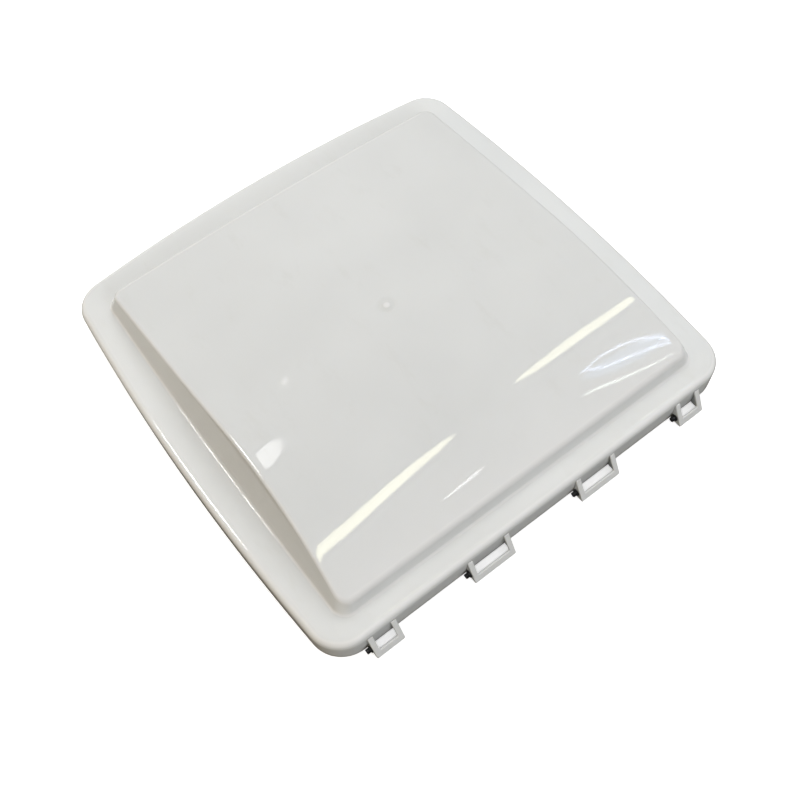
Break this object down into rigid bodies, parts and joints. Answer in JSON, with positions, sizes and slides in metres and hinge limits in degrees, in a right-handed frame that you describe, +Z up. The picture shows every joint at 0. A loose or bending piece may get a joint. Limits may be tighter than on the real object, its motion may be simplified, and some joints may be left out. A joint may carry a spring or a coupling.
{
  "type": "roof vent cover",
  "caption": "Square white roof vent lid with a wedge-shaped dome, flat flange, hinge loops along one edge and a lift rail with a sliding shoe underneath.",
  "frame": {"origin": "centre of the footprint of the closed lid with its hinge loops, on the plane of the skirt's rim", "axes": "+Z up with the lid closed, +X along the hinge edge, +Y from the hinge edge to the side that lifts"},
  "size_m": [0.406, 0.412, 0.0629],
  "materials": {
    "white_moulding": "smooth glossy, slightly translucent",
    "pin_steel": "turned, dull",
    "seal_foam": "closed-cell foam, matt",
    "rail_aluminium": "mill finish, drawn along its length",
    "screw_steel": "zinc plated",
    "black_nylon": "moulded, satin",
    "eye_zinc": "die-cast, satin"
  },
  "bodies": {
    "hinge_pins": {"hinge_pin_outer_left": "pin_steel", "hinge_pin_inner_left": "pin_steel", "hinge_pin_inner_right": "pin_steel", "hinge_pin_outer_right": "pin_steel"},
    "lid": {"cover_shell": "white_moulding", "hinge_loop_outer_left": "white_moulding", "hinge_loop_inner_left": "white_moulding", "hinge_loop_inner_right": "white_moulding", "hinge_loop_outer_right": "white_moulding", "weather_seal": "seal_foam", "lift_rail": "rail_aluminium", "rail_screws": "screw_steel", "rail_washers": "screw_steel", "rail_stop_hinge_end": "black_nylon", "rail_stop_far_end": "black_nylon"},
    "shoe": {"slide_shoe": "black_nylon", "swivel_pin": "pin_steel", "swivel_clip": "screw_steel"},
    "eye": {"swivel_eye": "eye_zinc"}
  },
  "joints": [
    {"name": "lid_hinge", "type": "hinge", "parent": "hinge_pins", "child": "lid", "pos_m": [0, -0.1988, 0.0065], "axis": [1, 0, 0], "range_deg": [0, 70]},
    {"name": "shoe_slide", "type": "slide", "parent": "lid", "child": "shoe", "axis": [0, 1, 0], "range_m": [0, 0.136]},
    {"name": "eye_swivel", "type": "hinge", "parent": "shoe", "child": "eye", "pos_m": [0, -0.0405, 0.0172], "axis": [1, 0, 0], "range_deg": [-15, 92]}
  ]
}
